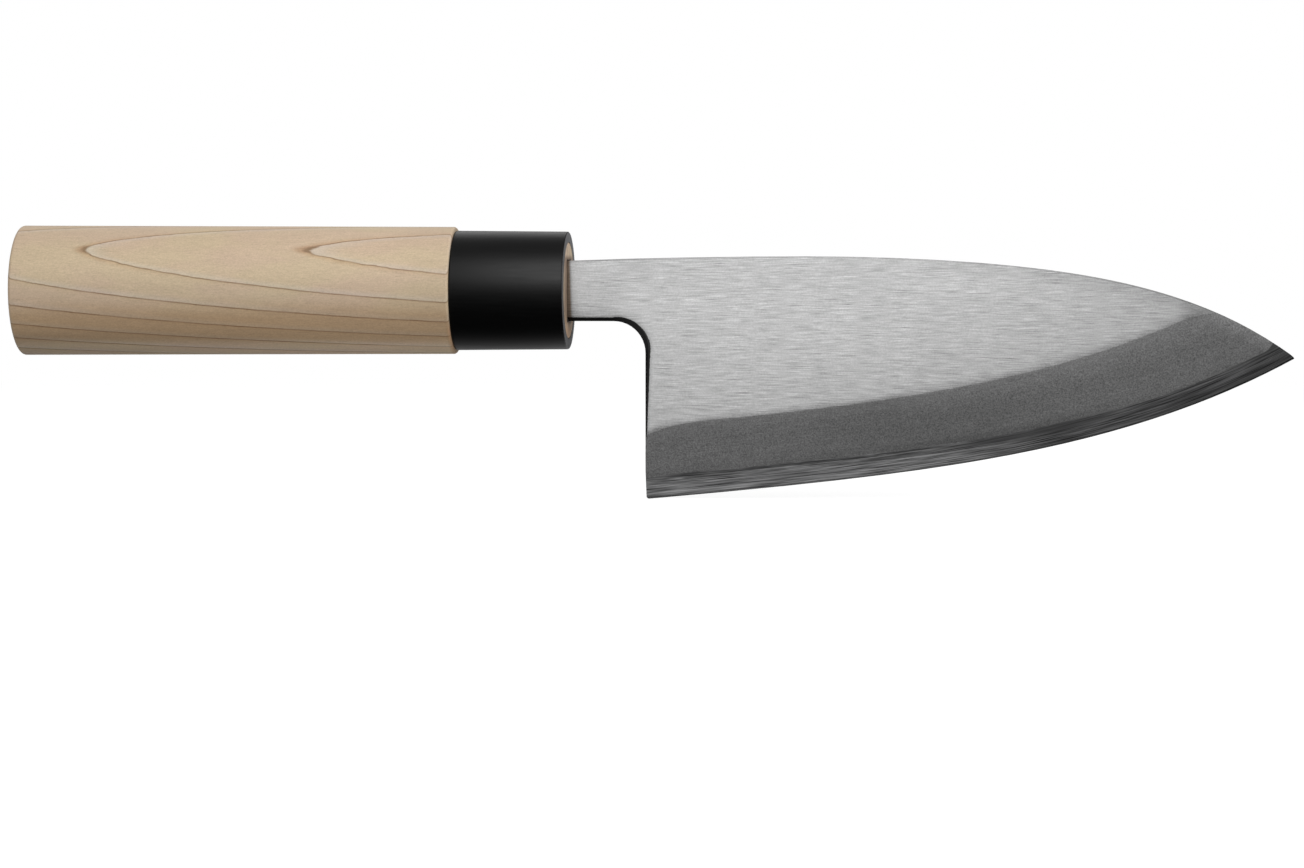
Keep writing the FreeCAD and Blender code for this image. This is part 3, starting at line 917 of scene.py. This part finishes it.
ferruleLook = {
    "lineLength": 8.0, "lineWidth": 0.5, "cloudSize": 9.0, "tone": 0.0008, "brush": 0.8, "cloud": 0.5,
    "blue": 1.08, "roughness": 0.41, "roughnessBrush": 0.35,
    "bumpFine": 0.7, "bumpCloud": 0.3, "bumpDepth": 0.02, "bumpStrength": 0.3,
}
ferruleRingLook = {
    "cloudSize": 3.0, "tone": 0.085, "cloud": 0.5, "grit": 0.4, "sawn": 0.5, "middle": 1.05, "upwards": 0.03,
    "sawLean": 0.3, "sawAcross": 3.0, "sawAlong": 0.25, "blue": 1.04, "roughnesses": (0.5, 0.7),
    "bumpGrit": 0.3, "bumpDepth": 0.02, "bumpStrength": 0.4, "facing": 0.9,
}


def ferruleMaterial(look):
    material, tree, shader = newMaterial("blackFerrule", Specular_IOR_Level=0.26)
    where = millimetres(tree)
    fine, _ = brushed(tree, where, look)
    cloud, _ = clouded(tree, where, look)
    tone = fine.spread(look["brush"]) * cloud.spread(look["cloud"]) * look["tone"]
    feed(tree, shader.inputs["Base Color"], coolGrey(tree, tone, look["blue"]))
    feed(tree, shader.inputs["Roughness"], fine.spread(look["roughnessBrush"]) * look["roughness"])
    bump(tree, shader, fine * look["bumpFine"] + cloud * look["bumpCloud"], look)
    return material


def ferruleRingMaterial(look):
    material, tree, shader = newMaterial("ferruleCut", Specular_IOR_Level=0.2)
    where = millimetres(tree)
    x, y, z = split(tree, where)
    cloud, grit = clouded(tree, where, look)
    across = (y + z * look["sawLean"]) * look["sawAcross"]
    sawn = noise(tree, join(tree, x, across, (z - y * look["sawLean"]) * look["sawAlong"]))
    tone = cloud.spread(look["cloud"]) * grit.spread(look["grit"]) * sawn.spread(look["sawn"]) * look["tone"]
    # painted shading: the sawn ring lighter towards its top
    tone = tone * (z * look["upwards"] + look["middle"])
    feed(tree, shader.inputs["Base Color"], coolGrey(tree, tone, look["blue"]))
    feed(tree, shader.inputs["Roughness"], cloud.ramp(*look["roughnesses"]))
    bump(tree, shader, sawn + grit * look["bumpGrit"], look)
    return material


def makeFerrule(sizes, look, ringLook):
    inset = 2 * sizes["wall"]
    profile = quarterRound(shoulderX, sizes["rearHeight"], sizes["rearWidth"], sizes["round"], -1)
    profile += quarterRound(mouthX, sizes["frontHeight"], sizes["frontWidth"], sizes["round"], 1)
    profile.append((mouthX, (sizes["frontHeight"] - inset) / 2, (sizes["frontWidth"] - inset) / 2))
    profile.append((shoulderX, (sizes["rearHeight"] - inset) / 2, (sizes["rearWidth"] - inset) / 2))
    piece = sweptOval("ferruleCollar", profile, True, ferruleMaterial(look))
    piece.data.materials.append(ferruleRingMaterial(ringLook))
    for face in piece.data.polygons:
        face.material_index = 1 if face.normal.x > ringLook["facing"] else 0
    return piece


gripWood = makeGrip(gripSizes, ferruleSizes, woodMaterial(woodLook, tenonLook, gripSizes))
ferruleCollar = makeFerrule(ferruleSizes, ferruleLook, ferruleRingLook)
print("handle pieces:", len(gripWood.data.polygons), "and", len(ferruleCollar.data.polygons), "faces")


# each piece stands for its solid

for piece, node, body in (
        (gripWood, "grip_wood", "handle"), (ferruleCollar, "ferrule", "handle"),
        (bladeIron, "blade_iron", "blade"), (bladeSteel, "edge_steel", "blade")):
    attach(piece, body)
    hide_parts(node)


# camera as the photo was taken: a long lens in front of the blade, turned a little to the handle

cameraSetup = {
    "place": (244.3, -772.0, 2.83), "turnLeft": 6.811, "tiltDown": 2.691,
    "focalPixels": 3309.0, "imageWidth": 1304.0, "sensor": 36.0, "nearest": 10.0,
}


def addCamera(setup):
    data = bpy.data.cameras.new("photoCamera")
    data.sensor_width = setup["sensor"]
    data.lens = setup["focalPixels"] / setup["imageWidth"] * setup["sensor"]
    data.clip_start = setup["nearest"] * mm
    camera = bpy.data.objects.new("photoCamera", data)
    camera.location = Vector(setup["place"]) * mm
    camera.rotation_euler = (math.radians(90 - setup["tiltDown"]), 0, math.radians(setup["turnLeft"]))
    scene.collection.objects.link(camera)
    scene.camera = camera


addCamera(cameraSetup)


# studio, places in metres: white behind the knife, a dim room before it, a pale floor, three soft panels

studio = {
    "aim": (0.14, 0.0, 0.0), "ambient": 0.25, "dimRoom": 0.06, "overhead": 0.38,
    "overheadFrom": (0.5, 0.9), "whiteFrom": (0.62, 1.32),
    "floorSize": 8.0, "floorTone": 0.42, "floorGlow": 0.8, "floorFade": (0.3, 0.9),
    "floorWhiteFrom": (-0.016, 0.024), "paperScale": 60.0, "paper": 0.06,
    "handleEnd": (0.15, 0.11), "handleBehind": (0.25, 0.08), "handleShade": -0.5,
}
panels = {
    "keyPanel": {"place": (0.22, -0.92, 0.54), "size": (0.6, 0.75), "brightness": 5.5},
    "sidePanel": {"place": (1.05, -0.25, 0.40), "size": (0.6, 0.5), "brightness": 5.0},
    "backPanel": {"place": (-0.10, 0.85, 0.75), "size": (1.0, 0.7), "brightness": 1.3},
}


def seenWhite(tree, behind):
    # camera and glass see white everywhere, reflections only behind the knife, and other light sees none
    rays = tree.nodes.new("ShaderNodeLightPath")
    direct = Term(tree, rays.outputs["Is Camera Ray"]) + rays.outputs["Is Transmission Ray"]
    glossy = Term(tree, rays.outputs["Is Glossy Ray"])
    return (direct + behind * glossy).op("MINIMUM", 1.0), (direct + glossy).op("MINIMUM", 1.0)


def addSurroundings(setup):
    world = bpy.data.worlds.new("whiteStudio")
    world.use_nodes = True
    world.cycles.sampling_method = "NONE"
    tree = world.node_tree
    sky = tree.nodes["Background"]
    sky.inputs["Color"].default_value = grey(1.0)
    heading = split(tree, tree.nodes.new("ShaderNodeTexCoord").outputs["Generated"])
    overhead = heading[2].step(*setup["overheadFrom"]) * setup["overhead"]
    behind = heading[1].step(*setup["whiteFrom"]).op("MAXIMUM", overhead).op("MAXIMUM", setup["dimRoom"])
    white, seen = seenWhite(tree, behind)
    feed(tree, sky.inputs["Strength"], white + seen.flipped() * setup["ambient"])
    scene.world = world


def floorMaterial(setup):
    material = bpy.data.materials.new("paleFloor")
    material.use_nodes = True
    material.cycles.emission_sampling = "NONE"
    tree = material.node_tree
    tree.nodes.clear()
    where = tree.nodes.new("ShaderNodeTexCoord").outputs["Object"]
    x, y, _ = split(tree, where)
    away = distance(x - setup["aim"][0], y).step(*setup["floorFade"])
    paper = noise(tree, where, setup["paperScale"], detail=3.0)
    # painted shadow of the handle, darkening the floor only where it shows in reflections
    nearHandle = x.step(*setup["handleEnd"]) * y.step(*setup["handleBehind"])
    behind = y.step(*setup["floorWhiteFrom"]) * (nearHandle * setup["handleShade"] + 1)
    white, seen = seenWhite(tree, behind)
    lit = (white - seen) * (1 - setup["dimRoom"]) + 1  # the floor before the knife is dim in reflections
    tone = away.flipped() * setup["floorTone"] * paper.spread(setup["paper"]) * lit
    diffuse = addNode(tree, "ShaderNodeBsdfDiffuse", {"Color": join(tree, tone, tone, tone)})
    light = addNode(tree, "ShaderNodeEmission", {"Strength": away.ramp(setup["floorGlow"], 1) * white})
    both = addNode(tree, "ShaderNodeAddShader", {0: diffuse.outputs[0], 1: light.outputs[0]})
    output = tree.nodes.new("ShaderNodeOutputMaterial")
    tree.links.new(both.outputs[0], output.inputs["Surface"])
    return material


def addFloor(setup):
    half = setup["floorSize"] / 2
    mesh = bpy.data.meshes.new("paleFloor")
    mesh.from_pydata(
        [(-half, -half, floorZ), (half, -half, floorZ), (half, half, floorZ), (-half, half, floorZ)],
        [], [(0, 1, 2, 3)])
    mesh.materials.append(floorMaterial(setup))
    floor = bpy.data.objects.new("paleFloor", mesh)
    scene.collection.objects.link(floor)


def addPanel(name, panel, aim):
    data = bpy.data.lights.new(name, "AREA")
    data.shape = "RECTANGLE"
    data.size, data.size_y = panel["size"]
    data.energy = panel["brightness"] * math.pi * data.size * data.size_y
    lamp = bpy.data.objects.new(name, data)
    lamp.location = panel["place"]
    lamp.rotation_euler = (Vector(aim) - lamp.location).to_track_quat("-Z", "Y").to_euler()
    lamp.visible_camera = False
    scene.collection.objects.link(lamp)


addSurroundings(studio)
addFloor(studio)
for label, panel in panels.items():
    addPanel(label, panel, studio["aim"])
print("studio set")
